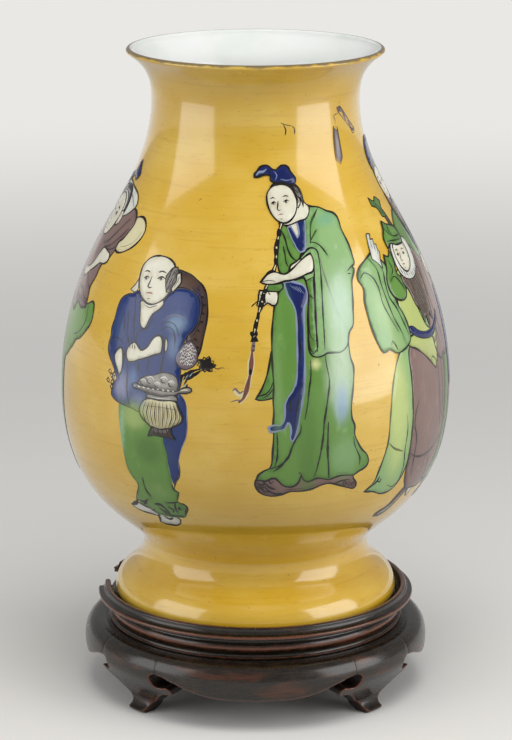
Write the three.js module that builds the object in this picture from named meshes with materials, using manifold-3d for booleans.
import * as THREE from 'three';
import { mergeVertices } from 'three/addons/utils/BufferGeometryUtils.js';
import Module from 'manifold-3d';

// A porcelain vase standing in a carved hardwood stand.
// Millimetres, +Z up, origin on the floor under the middle of the stand.
// An azimuth is in degrees from the front (-Y), positive towards +X.

// Vase, heights above its own foot ring
const VASE_HEIGHT = 418.5;
const VASE_WALL = 5.5;
const LIP_RADIUS = 94;
const LIP_ROUND = 2.4;
const THROAT_RADIUS = 75.9;
const THROAT_DROP = 36;
const BELLY_RADIUS = 143.4;
const BELLY_HEIGHT = 168.8;
const WAIST_RADIUS = 83.85;
const WAIST_HEIGHT = 50.9;
const FOOT_RADIUS = 105.3;
const FOOT_HEIGHT = 12.9;
const FOOT_RING_INSET = 12.3;
const FOOT_RING_WIDTH = 6.5;
const BASE_RECESS = 24;
const BASE_THICKNESS = 9;

// Handles that fill out the curves of the vase
const THROAT_HANDLE = 72.3;
const SHOULDER_HANDLE = 108.7;
const BELLY_HANDLE = 92.1;
const WAIST_UPPER_HANDLE = 22.5;
const WAIST_LOWER_HANDLE = 20.3;
const FOOT_HANDLE = 21.6;
const FOOT_TUCK = 8.8;

// Rim of the stand
const FOOT_CLEARANCE = 3.7;
const WELL_CLEARANCE = 1.1;
const LIP_WALL = 3.9;
const LIP_HEIGHT = 5.2;
const WELL_DRAFT = 0.35;
const LEDGE_WIDTH = 4.8;
const LEDGE_THICKNESS = 3.5;
const LEDGE_SOFTENING = 1;
const BREAK_AZIMUTH = -113;
const BREAK_TEETH = [0, -1.7, 0.9, -0.8, 1.4, 0];

// Waist of the stand
const WAIST_MOULDING_HEIGHT = 16.3;
const WAIST_MOULDING_WALL = 13.2;
const WAIST_COVE = 2;
const FILLET_HEIGHT = 1.6;
const SHELF_CLEARANCE = 7.2;
const SPIGOT_HEIGHT = 1.5;
const SPIGOT_SETBACK = 2;

// Board that carries the vase, and its batten
const BOARD_THICKNESS = 8.4;
const TONGUE_THICKNESS = 3.4;
const TONGUE_DEPTH = 2.2;
const TONGUE_DROP = 3.2;
const BATTEN_WIDTH = 22;
const BATTEN_DEPTH = 8;
const BATTEN_END_GAP = 4;
const KEY_HEIGHT = 3.6;
const KEY_TOP_WIDTH = 14;
const KEY_ROOT_WIDTH = 10;

// Shoulder and bulge, shared by the aprons and the legs
const SHOULDER_HEIGHT = 50.5;
const SHOULDER_FLANGE = 4.5;
const FLANGE_REACH = 9.5;
const SHOULDER_SWELL = 3.5;
const BULGE_PROJECTION = 18.8;
const BULGE_DROP = 14.5;
const BULGE_WALL = 14.6;
const APRON_DEPTH = 25.3;
const APRON_TUCK = 2.8;
const APRON_LIP = 12.5;
const CUSP_DROP = 1.2;
const OGEE_LENGTH = 56;
const OGEE_EASE = 0.5;

// Legs: widths are measured along the bulge from the middle of the leg
const LEG_AZIMUTH = 48.2;
const NOTCH_SPREAD = 29.6;
const NOTCH_HEIGHT = 37.8;
const NECK_HALF_WIDTH = 24;
const LOBE_HALF_WIDTH = 40.5;
const LOBE_HEIGHT = 24;
const LOBE_ROUND = 3.6;
const LOBE_TUCK = 7;
const CURL_DEPTH = 2;
const ANKLE_HALF_WIDTH = 16.5;
const ANKLE_HEIGHT = 9;
const ANKLE_PROJECTION = -0.8;
const ANKLE_DEPTH = 9.5;
const HEEL_SLOPE = 1.5;
const FOOT_HALF_WIDTH = 15.4;
const FOOT_WING_HEIGHT = 2.8;
const SOLE_HALF_WIDTH = 7;
const SOLE_DEPTH = 6.5;
const TOE_PROJECTION = 3.6;
const TOE_THICKNESS = 1.2;

// Wood joints
const JOINT_GAP = 0.3;
const APRON_TENON_LENGTH = 5;
const APRON_TENON_HEIGHT = 6;
const APRON_TENON_THICKNESS = 4.4;
const APRON_TENON_LIFT = 2.2;
const LEG_TENON_WIDTH = 12;
const LEG_TENON_HEIGHT = 8;
const LEG_TENON_THICKNESS = 3.6;
const LEG_TENON_COVER = 3.2;

// Fineness of the facets
const VASE_SEGMENTS = 52;
const WOOD_SEGMENTS = 52;
const NECK_STEPS = 7;
const BELLY_STEPS = 7;
const FLARE_STEPS = 5;
const INSIDE_STEPS = 5;
const SMALL_STEPS = 3;
const OUTLINE_STEPS = 4;

// Radii and levels that follow from the sizes
const WELL_RADIUS = FOOT_RADIUS + FOOT_CLEARANCE;
const LIP_OUTER_RADIUS = WELL_RADIUS + LIP_WALL;
const RIM_RADIUS = LIP_OUTER_RADIUS + LEDGE_WIDTH;
const MOULDING_RADIUS = WELL_RADIUS + JOINT_GAP;
const WAIST_INNER_RADIUS = MOULDING_RADIUS - WAIST_MOULDING_WALL;
const BOARD_RADIUS = WAIST_INNER_RADIUS - JOINT_GAP;
const BULGE_RADIUS = MOULDING_RADIUS + BULGE_PROJECTION;
const BULGE_HEIGHT = SHOULDER_HEIGHT - BULGE_DROP;
const APRON_EDGE_HEIGHT = SHOULDER_HEIGHT - APRON_DEPTH;
const WAIST_FOOTING = SHOULDER_HEIGHT + JOINT_GAP;
const WAIST_TOP = WAIST_FOOTING + WAIST_MOULDING_HEIGHT;
const SPIGOT_TOP = WAIST_TOP + SPIGOT_HEIGHT;
const SPIGOT_RADIUS = WELL_RADIUS - SPIGOT_SETBACK;
const RIM_UNDERSIDE = WAIST_TOP + JOINT_GAP;
const LEDGE_TOP = RIM_UNDERSIDE + LEDGE_THICKNESS;
const RIM_TOP = LEDGE_TOP + LIP_HEIGHT;
const BOARD_BOTTOM = WAIST_FOOTING + JOINT_GAP;
const BOARD_TOP = BOARD_BOTTOM + BOARD_THICKNESS;
const VASE_BASE = BOARD_TOP + JOINT_GAP;
const FOOT_RING_RADIUS = FOOT_RADIUS - FOOT_RING_INSET;

// Cutters reach past the wood by this much, and joined solids into each other by that
const CUT_BEYOND = 40;
const JOIN_BITE = 0.01;

// Directions of the points round the end of a lobe
const LOBE_TURNS = [-90, -50, -10, 30, 70, 110];

const wasm = await Module();
wasm.setup();

const glaze = new THREE.MeshStandardMaterial({ color: 0xdcb046, roughness: 0.12, metalness: 0 });
const rosewood = new THREE.MeshStandardMaterial({ color: 0x2c1c15, roughness: 0.38, metalness: 0 });
const plainWood = new THREE.MeshStandardMaterial({ color: 0x4a3226, roughness: 0.7, metalness: 0 });

const radians = THREE.MathUtils.degToRad;
const degrees = THREE.MathUtils.radToDeg;
const point = (x, y) => new THREE.Vector2(x, y);

// Points of a cubic arc, without its first point
function arc(start, startHandle, endHandle, end, steps) {
  const curve = new THREE.CubicBezierCurve(start, startHandle, endHandle, end);
  return curve.getPoints(steps).slice(1);
}

// A profile of radius and height turned about the Z axis
function turned(profile, segments) {
  const geometry = new THREE.LatheGeometry(profile, segments);
  geometry.rotateX(Math.PI / 2);
  return geometry;
}

// A ring whose section closes on itself
function turnedRing(section) {
  return toSolid(turned([...section, section[0]], WOOD_SEGMENTS));
}

// A closed solid for joining and cutting, facing outwards
function toSolid(geometry) {
  const bare = geometry.clone();
  bare.deleteAttribute('normal');
  bare.deleteAttribute('uv');
  const merged = mergeVertices(bare, 1e-4);
  const positions = merged.getAttribute('position');
  const corners = Array.from(merged.getIndex().array);
  const triangles = [];
  let volume = 0;
  const a = new THREE.Vector3();
  const b = new THREE.Vector3();
  const c = new THREE.Vector3();
  for (let i = 0; i < corners.length; i += 3) {
    const [p, q, r] = corners.slice(i, i + 3);
    if (p === q || q === r || r === p) continue;
    triangles.push([p, q, r]);
    a.fromBufferAttribute(positions, p);
    b.fromBufferAttribute(positions, q);
    c.fromBufferAttribute(positions, r);
    volume += a.dot(b.cross(c));
  }
  if (volume < 0) triangles.forEach((triangle) => triangle.reverse());
  const vertProperties = new Float32Array(positions.array);
  const triVerts = new Uint32Array(triangles.flat());
  return new wasm.Manifold(new wasm.Mesh({ numProp: 3, vertProperties, triVerts }));
}

function toGeometry(solid) {
  const mesh = solid.getMesh();
  const geometry = new THREE.BufferGeometry();
  geometry.setAttribute('position', new THREE.BufferAttribute(mesh.vertProperties, 3));
  geometry.setIndex(new THREE.BufferAttribute(mesh.triVerts, 1));
  geometry.computeVertexNormals();
  return geometry;
}

function piece(name, geometry, material) {
  const mesh = new THREE.Mesh(geometry, material);
  mesh.name = name;
  return mesh;
}

// A position on the plan from its radius and azimuth
function onPlan(radius, azimuth) {
  return point(radius * Math.sin(radians(azimuth)), -radius * Math.cos(radians(azimuth)));
}

// A prism over a plan outline, between two levels
function prism(outline, low, high) {
  const shape = new THREE.Shape(outline);
  const geometry = new THREE.ExtrudeGeometry(shape, { depth: high - low, bevelEnabled: false });
  geometry.translate(0, 0, low);
  return toSolid(geometry);
}

// A wedge of the stand between two azimuths, at most a quarter turn apart
function wedge(start, end, low, high) {
  const reach = 2 * BULGE_RADIUS;
  return prism([point(0, 0), onPlan(reach, start), onPlan(reach, end)], low, high);
}

// A block whose length lies along the tangent at an azimuth
function block(azimuth, inner, outer, low, high, from, to) {
  const geometry = new THREE.BoxGeometry(to - from, outer - inner, high - low);
  geometry.translate((from + to) / 2, -(inner + outer) / 2, (low + high) / 2);
  geometry.rotateZ(radians(azimuth));
  return toSolid(geometry);
}

// Height on the outside of the foot gives its radius, up to the widest point
const footCurve = new THREE.CubicBezierCurve(
  point(FOOT_RING_RADIUS, 0),
  point(FOOT_RING_RADIUS + 0.28 * FOOT_RING_INSET, 0.08 * FOOT_HEIGHT),
  point(FOOT_RADIUS, FOOT_HEIGHT - 0.45 * FOOT_TUCK),
  point(FOOT_RADIUS, FOOT_HEIGHT),
);
function footRadiusAt(level) {
  const height = level - VASE_BASE;
  if (height >= FOOT_HEIGHT) return FOOT_RADIUS;
  const spots = footCurve.getPoints(60);
  return spots.find((spot) => spot.y >= height).x;
}

function makeVase() {
  const throatHeight = VASE_HEIGHT - THROAT_DROP;
  const lipHeight = VASE_HEIGHT - LIP_ROUND;
  const flare = (LIP_RADIUS - THROAT_RADIUS) * 0.68;
  const ringInner = FOOT_RING_RADIUS - FOOT_RING_WIDTH;
  const floorHeight = BASE_RECESS + BASE_THICKNESS;
  const belowWaist = WAIST_HEIGHT - floorHeight;
  const outside = [
    point(0, BASE_RECESS),
    point(0.8 * ringInner, BASE_RECESS),
    point(0.94 * ringInner, 0.8 * BASE_RECESS),
    point(ringInner, 0),
    ...footCurve.getPoints(SMALL_STEPS + 1),
    ...arc(
      point(FOOT_RADIUS, FOOT_HEIGHT),
      point(FOOT_RADIUS, FOOT_HEIGHT + FOOT_HANDLE),
      point(WAIST_RADIUS, WAIST_HEIGHT - WAIST_LOWER_HANDLE),
      point(WAIST_RADIUS, WAIST_HEIGHT),
      FLARE_STEPS,
    ),
    ...arc(
      point(WAIST_RADIUS, WAIST_HEIGHT),
      point(WAIST_RADIUS, WAIST_HEIGHT + WAIST_UPPER_HANDLE),
      point(BELLY_RADIUS, BELLY_HEIGHT - BELLY_HANDLE),
      point(BELLY_RADIUS, BELLY_HEIGHT),
      BELLY_STEPS,
    ),
    ...arc(
      point(BELLY_RADIUS, BELLY_HEIGHT),
      point(BELLY_RADIUS, BELLY_HEIGHT + SHOULDER_HANDLE),
      point(THROAT_RADIUS, throatHeight - THROAT_HANDLE),
      point(THROAT_RADIUS, throatHeight),
      NECK_STEPS,
    ),
    ...arc(
      point(THROAT_RADIUS, throatHeight),
      point(THROAT_RADIUS, throatHeight + 0.5 * THROAT_DROP),
      point(LIP_RADIUS - flare, lipHeight - 0.25 * THROAT_DROP),
      point(LIP_RADIUS, lipHeight),
      SMALL_STEPS + 1,
    ),
    point(LIP_RADIUS - 0.3 * LIP_ROUND, VASE_HEIGHT - 0.3 * LIP_ROUND),
    point(LIP_RADIUS - LIP_ROUND, VASE_HEIGHT),
  ];
  const inside = [
    point(LIP_RADIUS - VASE_WALL, lipHeight - 0.2 * LIP_ROUND),
    ...arc(
      point(LIP_RADIUS - VASE_WALL, lipHeight - 0.2 * LIP_ROUND),
      point(LIP_RADIUS - flare - VASE_WALL, lipHeight - 0.28 * THROAT_DROP),
      point(THROAT_RADIUS - VASE_WALL, throatHeight + 0.5 * THROAT_DROP),
      point(THROAT_RADIUS - VASE_WALL, throatHeight),
      SMALL_STEPS,
    ),
    ...arc(
      point(THROAT_RADIUS - VASE_WALL, throatHeight),
      point(THROAT_RADIUS - VASE_WALL, throatHeight - THROAT_HANDLE),
      point(BELLY_RADIUS - VASE_WALL, BELLY_HEIGHT + SHOULDER_HANDLE),
      point(BELLY_RADIUS - VASE_WALL, BELLY_HEIGHT),
      INSIDE_STEPS,
    ),
    ...arc(
      point(BELLY_RADIUS - VASE_WALL, BELLY_HEIGHT),
      point(BELLY_RADIUS - VASE_WALL, BELLY_HEIGHT - BELLY_HANDLE),
      point(WAIST_RADIUS - VASE_WALL, WAIST_HEIGHT + WAIST_UPPER_HANDLE),
      point(WAIST_RADIUS - VASE_WALL, WAIST_HEIGHT),
      INSIDE_STEPS,
    ),
    ...arc(
      point(WAIST_RADIUS - VASE_WALL, WAIST_HEIGHT),
      point(WAIST_RADIUS - VASE_WALL, WAIST_HEIGHT - 0.6 * belowWaist),
      point(0.9 * WAIST_RADIUS - VASE_WALL, floorHeight),
      point(0.75 * WAIST_RADIUS - VASE_WALL, floorHeight),
      SMALL_STEPS,
    ),
    point(0, floorHeight),
  ];
  const mesh = piece('vase', turned([...outside, ...inside], VASE_SEGMENTS), glaze);
  mesh.position.z = VASE_BASE;
  return mesh;
}

// The rim: a well with a rounded lip, a cove down to the ledge, and a soft edge
function rimSection() {
  const wellFoot = footRadiusAt(SPIGOT_TOP + JOINT_GAP) + WELL_CLEARANCE;
  const rebate = SPIGOT_RADIUS + JOINT_GAP;
  const lipShoulder = RIM_TOP - 0.35 * LIP_WALL;
  return [
    point(rebate, RIM_UNDERSIDE),
    point(rebate, SPIGOT_TOP + JOINT_GAP),
    point(wellFoot, SPIGOT_TOP + JOINT_GAP),
    point(WELL_RADIUS - WELL_DRAFT, SPIGOT_TOP + 0.55 * (lipShoulder - SPIGOT_TOP)),
    point(WELL_RADIUS, lipShoulder),
    point(WELL_RADIUS + 0.25 * LIP_WALL, RIM_TOP),
    point(WELL_RADIUS + 0.75 * LIP_WALL, RIM_TOP),
    point(LIP_OUTER_RADIUS, lipShoulder),
    ...arc(
      point(LIP_OUTER_RADIUS, lipShoulder),
      point(LIP_OUTER_RADIUS, LEDGE_TOP + 0.1 * LIP_HEIGHT),
      point(LIP_OUTER_RADIUS + 0.3 * LEDGE_WIDTH, LEDGE_TOP),
      point(RIM_RADIUS - LEDGE_SOFTENING, LEDGE_TOP),
      SMALL_STEPS,
    ),
    point(RIM_RADIUS, LEDGE_TOP - LEDGE_SOFTENING),
    point(RIM_RADIUS - 0.2 * LEDGE_SOFTENING, RIM_UNDERSIDE + LEDGE_SOFTENING),
    point(RIM_RADIUS - 1.6 * LEDGE_SOFTENING, RIM_UNDERSIDE),
  ];
}

function rimOutline(azimuthStart, azimuthEnd, broken) {
  const reach = 2 * BULGE_RADIUS;
  const outline = [point(0, 0), onPlan(reach, azimuthStart)];
  if (!broken) return [...outline, onPlan(reach, azimuthEnd)];
  const last = BREAK_TEETH.length - 1;
  const inner = SPIGOT_RADIUS - SHELF_CLEARANCE;
  const teeth = BREAK_TEETH.map((tooth, i) => {
    const radius = THREE.MathUtils.lerp(inner, RIM_RADIUS, i / last);
    return onPlan(radius, azimuthEnd + tooth);
  });
  return [...outline, onPlan(reach, azimuthEnd), ...teeth.reverse()];
}

function makeRim() {
  const ring = turnedRing(rimSection());
  const slit = degrees(JOINT_GAP / 2 / WAIST_INNER_RADIUS);
  const quarters = {
    rim_front_right: [0, 90],
    rim_back_right: [90, 180],
    rim_back_left: [-180, BREAK_AZIMUTH],
    rim_front_left: [-90, 0],
  };
  return Object.entries(quarters).map(([name, [start, end]]) => {
    const broken = end === BREAK_AZIMUTH;
    const finish = broken ? end : end - slit;
    const outline = rimOutline(start + slit, finish, broken);
    const cutter = prism(outline, RIM_UNDERSIDE - CUT_BEYOND, RIM_TOP + CUT_BEYOND);
    return piece(name, toGeometry(ring.intersect(cutter)), rosewood);
  });
}

// The waist: a cove and a torus outside, a groove for the board's tongue inside
function waistSection() {
  const belly = MOULDING_RADIUS - WAIST_COVE;
  const torusHeight = WAIST_FOOTING + 0.5 * WAIST_MOULDING_HEIGHT;
  const filletTop = WAIST_FOOTING + FILLET_HEIGHT;
  const grooveTop = BOARD_TOP - TONGUE_DROP + JOINT_GAP;
  const grooveBottom = BOARD_TOP - TONGUE_DROP - TONGUE_THICKNESS - JOINT_GAP;
  const grooveRadius = BOARD_RADIUS + TONGUE_DEPTH + JOINT_GAP;
  return [
    point(WAIST_INNER_RADIUS, WAIST_FOOTING),
    point(WAIST_INNER_RADIUS, grooveBottom),
    point(grooveRadius, grooveBottom),
    point(grooveRadius, grooveTop),
    point(WAIST_INNER_RADIUS, grooveTop),
    point(WAIST_INNER_RADIUS, BOARD_TOP),
    point(FOOT_RING_RADIUS + SHELF_CLEARANCE, BOARD_TOP),
    point(footRadiusAt(SPIGOT_TOP) + WELL_CLEARANCE, SPIGOT_TOP),
    point(SPIGOT_RADIUS, SPIGOT_TOP),
    point(SPIGOT_RADIUS, WAIST_TOP),
    point(MOULDING_RADIUS, WAIST_TOP),
    point(belly, WAIST_TOP - 0.22 * WAIST_MOULDING_HEIGHT),
    point(MOULDING_RADIUS - 0.2 * WAIST_COVE, torusHeight + 0.12 * WAIST_MOULDING_HEIGHT),
    point(MOULDING_RADIUS, torusHeight),
    point(MOULDING_RADIUS - 0.3 * WAIST_COVE, torusHeight - 0.12 * WAIST_MOULDING_HEIGHT),
    point(belly + 0.3 * WAIST_COVE, filletTop + FILLET_HEIGHT),
    point(belly + 0.4 * WAIST_COVE, filletTop),
    point(MOULDING_RADIUS, filletTop),
    point(MOULDING_RADIUS, WAIST_FOOTING),
  ];
}

function legTenon(azimuth, grow) {
  const outer = MOULDING_RADIUS - WAIST_COVE - LEG_TENON_COVER;
  const half = LEG_TENON_WIDTH / 2;
  return block(
    azimuth,
    outer - LEG_TENON_THICKNESS - grow,
    outer + grow,
    SHOULDER_HEIGHT - SHOULDER_FLANGE / 2,
    SHOULDER_HEIGHT + LEG_TENON_HEIGHT + grow,
    -half - grow,
    half + grow,
  );
}

// The azimuths of the legs, and the pieces between and over them
const legs = {
  leg_front_right: LEG_AZIMUTH,
  leg_back_right: 180 - LEG_AZIMUTH,
  leg_back_left: LEG_AZIMUTH - 180,
  leg_front_left: -LEG_AZIMUTH,
};
const bays = {
  front: [-LEG_AZIMUTH, LEG_AZIMUTH],
  right: [LEG_AZIMUTH, 180 - LEG_AZIMUTH],
  back: [180 - LEG_AZIMUTH, 180 + LEG_AZIMUTH],
  left: [LEG_AZIMUTH - 180, -LEG_AZIMUTH],
};

function makeWaist() {
  let ring = turnedRing(waistSection());
  for (const azimuth of Object.values(legs)) ring = ring.subtract(legTenon(azimuth, JOINT_GAP));
  const slit = degrees(JOINT_GAP / 2 / WAIST_INNER_RADIUS);
  return Object.entries(bays).map(([side, [start, end]]) => {
    const cutter = wedge(start + slit, end - slit, 0, RIM_TOP);
    return piece(`waist_${side}`, toGeometry(ring.intersect(cutter)), rosewood);
  });
}

// The shoulder and the bulge, from the inside of the flange to the widest point
function shoulderProfile() {
  const start = point(MOULDING_RADIUS + 4 * JOINT_GAP, SHOULDER_HEIGHT);
  return [
    point(MOULDING_RADIUS - FLANGE_REACH, SHOULDER_HEIGHT),
    start,
    ...arc(
      start,
      point(BULGE_RADIUS - 0.2 * BULGE_PROJECTION, SHOULDER_HEIGHT + SHOULDER_SWELL),
      point(BULGE_RADIUS, BULGE_HEIGHT + 0.6 * BULGE_DROP),
      point(BULGE_RADIUS, BULGE_HEIGHT),
      SMALL_STEPS + 2,
    ),
  ];
}

// The hollow back of the frame, from behind the bulge up to the flange
function backProfile() {
  const back = BULGE_RADIUS - BULGE_WALL;
  const flange = MOULDING_RADIUS - FLANGE_REACH;
  return [
    point(back, BULGE_HEIGHT),
    point(back - 0.4 * SHOULDER_FLANGE, SHOULDER_HEIGHT - 2 * SHOULDER_FLANGE),
    point(flange + SHOULDER_FLANGE, SHOULDER_HEIGHT - SHOULDER_FLANGE),
    point(flange, SHOULDER_HEIGHT - SHOULDER_FLANGE),
  ];
}

function apronSection() {
  const edge = point(BULGE_RADIUS - APRON_TUCK, APRON_EDGE_HEIGHT - CUSP_DROP);
  return [
    ...shoulderProfile(),
    ...arc(
      point(BULGE_RADIUS, BULGE_HEIGHT),
      point(BULGE_RADIUS, 0.5 * (BULGE_HEIGHT + edge.y)),
      point(edge.x + 0.6 * APRON_TUCK, edge.y + 0.5 * APRON_TUCK),
      edge,
      SMALL_STEPS,
    ),
    point(edge.x - APRON_LIP, edge.y - CUSP_DROP),
    ...backProfile(),
  ];
}

// A leg tucks in below the notches to its ankle, and flares out again at the foot
function legSection() {
  const ankle = point(MOULDING_RADIUS + ANKLE_PROJECTION, ANKLE_HEIGHT);
  const toe = point(MOULDING_RADIUS + TOE_PROJECTION, TOE_THICKNESS);
  const heel = ankle.x - ANKLE_DEPTH;
  const soleOuter = toe.x - TOE_THICKNESS;
  return [
    ...shoulderProfile(),
    ...arc(
      point(BULGE_RADIUS, BULGE_HEIGHT),
      point(BULGE_RADIUS, BULGE_HEIGHT - LOBE_TUCK),
      point(ankle.x + 0.4 * LOBE_TUCK, LOBE_HEIGHT - 0.7 * LOBE_TUCK),
      ankle,
      OUTLINE_STEPS + 2,
    ),
    ...arc(
      ankle,
      point(ankle.x, 0.55 * ankle.y),
      point(0.5 * (ankle.x + toe.x), 0.35 * ankle.y),
      toe,
      SMALL_STEPS,
    ),
    point(soleOuter, 0),
    point(soleOuter - SOLE_DEPTH, 0),
    point(heel, 0.5 * ANKLE_HEIGHT),
    point(heel + HEEL_SLOPE, 1.6 * ANKLE_HEIGHT),
    point(heel + 0.5 * APRON_LIP, LOBE_HEIGHT - 0.3 * LOBE_TUCK),
    ...backProfile(),
  ];
}

// One side of a bay, from the sole of its leg up round the lobe and the notch and along
// the ogee edge of the apron; x is the distance along the bulge from the middle of the leg
function bayFlank() {
  const wing = point(FOOT_HALF_WIDTH, FOOT_WING_HEIGHT);
  const ankle = point(ANKLE_HALF_WIDTH, ANKLE_HEIGHT);
  const bulb = point(LOBE_HALF_WIDTH - LOBE_ROUND, LOBE_HEIGHT);
  const curlTop = bulb.y + 0.9 * LOBE_ROUND;
  const neck = point(NECK_HALF_WIDTH, 0.45 * curlTop + 0.55 * NOTCH_HEIGHT);
  const notch = point(NOTCH_SPREAD, NOTCH_HEIGHT);
  const edge = point(NOTCH_SPREAD + OGEE_LENGTH, APRON_EDGE_HEIGHT);
  const round = LOBE_TURNS.map((turn) => point(
    bulb.x + LOBE_ROUND * Math.cos(radians(turn)),
    bulb.y + LOBE_ROUND * Math.sin(radians(turn)),
  ));
  const underBulb = round[0];
  const curl = round[round.length - 1];
  return [
    point(SOLE_HALF_WIDTH, -CUT_BEYOND),
    point(SOLE_HALF_WIDTH, 0),
    ...arc(
      point(SOLE_HALF_WIDTH, 0),
      point(0.8 * wing.x, 0.1 * wing.y),
      point(wing.x, 0.4 * wing.y),
      wing,
      SMALL_STEPS,
    ),
    ankle,
    ...arc(
      ankle,
      point(0.72 * ankle.x + 0.28 * underBulb.x, 0.6 * ankle.y + 0.4 * underBulb.y),
      point(0.5 * ankle.x + 0.5 * underBulb.x, underBulb.y),
      underBulb,
      OUTLINE_STEPS,
    ).slice(0, -1),
    ...round,
    ...arc(
      curl,
      point(curl.x - 1.5 * CURL_DEPTH, curl.y - 0.3 * CURL_DEPTH),
      point(neck.x + CURL_DEPTH, curl.y - 2 * CURL_DEPTH),
      neck,
      OUTLINE_STEPS,
    ),
    ...arc(
      neck,
      point(neck.x - 0.2 * CURL_DEPTH, 0.4 * neck.y + 0.6 * notch.y),
      point(0.5 * (neck.x + notch.x), notch.y),
      notch,
      SMALL_STEPS,
    ),
    ...arc(
      notch,
      point(notch.x + 0.25 * OGEE_LENGTH, notch.y - OGEE_EASE),
      point(edge.x - 0.46 * OGEE_LENGTH, edge.y + OGEE_EASE),
      edge,
      OUTLINE_STEPS + 2,
    ),
  ];
}

// The opening of a bay, bent round the axis from an outline along the bulge
function bayCutter(start, end) {
  const middle = (start + end) / 2;
  const reach = radians(end - start) / 2 * BULGE_RADIUS;
  const left = bayFlank().map((spot) => point(spot.x - reach, spot.y));
  const right = bayFlank().map((spot) => point(reach - spot.x, spot.y)).reverse();
  const cusp = point(0, APRON_EDGE_HEIGHT - CUSP_DROP);
  const besideCusp = 3 * CUSP_DROP;
  const outline = [
    ...left,
    point(-besideCusp, APRON_EDGE_HEIGHT),
    cusp,
    point(besideCusp, APRON_EDGE_HEIGHT),
    ...right,
  ];
  const inner = 0.75 * BULGE_RADIUS;
  const depth = 2 * BULGE_RADIUS - inner;
  const shape = new THREE.Shape(outline);
  const geometry = new THREE.ExtrudeGeometry(shape, { depth, steps: 3, bevelEnabled: false });
  const positions = geometry.getAttribute('position');
  for (let i = 0; i < positions.count; i += 1) {
    const azimuth = middle + degrees(positions.getX(i) / BULGE_RADIUS);
    const spot = onPlan(inner + positions.getZ(i), azimuth);
    positions.setXYZ(i, spot.x, spot.y, positions.getY(i));
  }
  return toSolid(geometry);
}

// A leg keeps its neck above the notches and both lobes below them
function legSelector(azimuth, grow) {
  const turn = (width) => degrees(width / BULGE_RADIUS) + grow;
  const split = 0.5 * (LOBE_HEIGHT + LOBE_ROUND + NOTCH_HEIGHT);
  const neck = wedge(
    azimuth - turn(NOTCH_SPREAD),
    azimuth + turn(NOTCH_SPREAD),
    split - JOIN_BITE,
    RIM_TOP,
  );
  const lobes = wedge(
    azimuth - turn(LOBE_HALF_WIDTH + CURL_DEPTH),
    azimuth + turn(LOBE_HALF_WIDTH + CURL_DEPTH),
    -CUT_BEYOND,
    split,
  );
  return neck.add(lobes);
}

// The tenon on one end of an apron, reaching into the leg on side -1 or 1
function apronTenon(azimuth, side, grow) {
  const turn = degrees(NOTCH_SPREAD / BULGE_RADIUS);
  const middle = BULGE_RADIUS - 0.5 * BULGE_WALL - 0.5 * APRON_TUCK;
  const low = NOTCH_HEIGHT + APRON_TENON_LIFT;
  const reach = APRON_TENON_LENGTH + grow;
  return block(
    azimuth - side * turn,
    middle - APRON_TENON_THICKNESS / 2 - grow,
    middle + APRON_TENON_THICKNESS / 2 + grow,
    low - grow,
    low + APRON_TENON_HEIGHT + grow,
    side > 0 ? -APRON_TENON_LENGTH / 2 : -reach,
    side > 0 ? reach : APRON_TENON_LENGTH / 2,
  );
}

function makeLegs() {
  let ring = turnedRing(legSection());
  for (const [start, end] of Object.values(bays)) ring = ring.subtract(bayCutter(start, end));
  return Object.entries(legs).map(([name, azimuth]) => {
    let leg = ring.intersect(legSelector(azimuth, 0)).add(legTenon(azimuth, 0));
    for (const side of [-1, 1]) leg = leg.subtract(apronTenon(azimuth, side, JOINT_GAP));
    return piece(name, toGeometry(leg), rosewood);
  });
}

function makeAprons() {
  const slit = degrees(JOINT_GAP / (MOULDING_RADIUS - FLANGE_REACH));
  let ring = turnedRing(apronSection());
  for (const azimuth of Object.values(legs)) ring = ring.subtract(legSelector(azimuth, slit));
  return Object.entries(bays).map(([side, [start, end]]) => {
    let apron = ring.intersect(wedge(start, end, 0, RIM_TOP)).subtract(bayCutter(start, end));
    apron = apron.add(apronTenon(start, -1, 0)).add(apronTenon(end, 1, 0));
    return piece(`apron_${side}`, toGeometry(apron), rosewood);
  });
}

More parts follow.
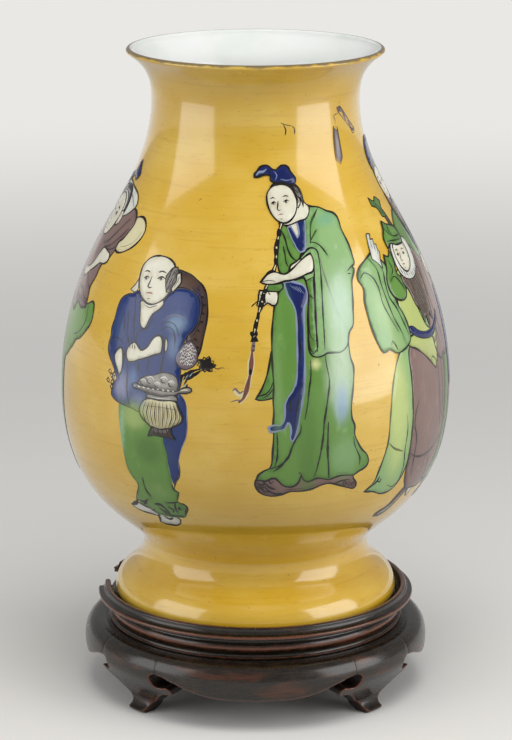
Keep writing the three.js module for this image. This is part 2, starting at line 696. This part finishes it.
// The dovetail key of the batten, or its slot in the board when grown by a gap
function dovetail(halfLength, grow) {
  const root = BOARD_BOTTOM - JOINT_GAP - Math.max(grow, JOIN_BITE);
  const top = BOARD_BOTTOM + KEY_HEIGHT + grow;
  const shape = new THREE.Shape([
    point(-KEY_ROOT_WIDTH / 2 - grow, root),
    point(KEY_ROOT_WIDTH / 2 + grow, root),
    point(KEY_TOP_WIDTH / 2 + grow, top),
    point(-KEY_TOP_WIDTH / 2 - grow, top),
  ]);
  const length = 2 * halfLength;
  const geometry = new THREE.ExtrudeGeometry(shape, { depth: length, bevelEnabled: false });
  geometry.translate(0, 0, -halfLength);
  geometry.rotateX(Math.PI / 2);
  geometry.rotateZ(Math.PI / 2);
  return toSolid(geometry);
}

function makeBoard() {
  const tongueTop = BOARD_TOP - TONGUE_DROP;
  const tongueBottom = tongueTop - TONGUE_THICKNESS;
  const tongueRadius = BOARD_RADIUS + TONGUE_DEPTH;
  const disc = toSolid(turned([
    point(0, BOARD_BOTTOM),
    point(BOARD_RADIUS, BOARD_BOTTOM),
    point(BOARD_RADIUS, tongueBottom),
    point(tongueRadius, tongueBottom),
    point(tongueRadius, tongueTop),
    point(BOARD_RADIUS, tongueTop),
    point(BOARD_RADIUS, BOARD_TOP),
    point(0, BOARD_TOP),
  ], WOOD_SEGMENTS));
  const halfLength = BOARD_RADIUS - BATTEN_END_GAP;
  const slot = dovetail(halfLength + JOINT_GAP, JOINT_GAP);
  const bar = new THREE.BoxGeometry(2 * halfLength, BATTEN_WIDTH, BATTEN_DEPTH);
  bar.translate(0, 0, BOARD_BOTTOM - JOINT_GAP - BATTEN_DEPTH / 2);
  const batten = toSolid(bar).add(dovetail(halfLength, 0));
  return [
    piece('stand_board', toGeometry(disc.subtract(slot)), plainWood),
    piece('board_batten', toGeometry(batten), plainWood),
  ];
}

const object = new THREE.Group();
object.add(makeVase());
for (const mesh of makeBoard()) object.add(mesh);
for (const mesh of makeRim()) object.add(mesh);
for (const mesh of makeWaist()) object.add(mesh);
for (const mesh of makeLegs()) object.add(mesh);
for (const mesh of makeAprons()) object.add(mesh);

export default object;
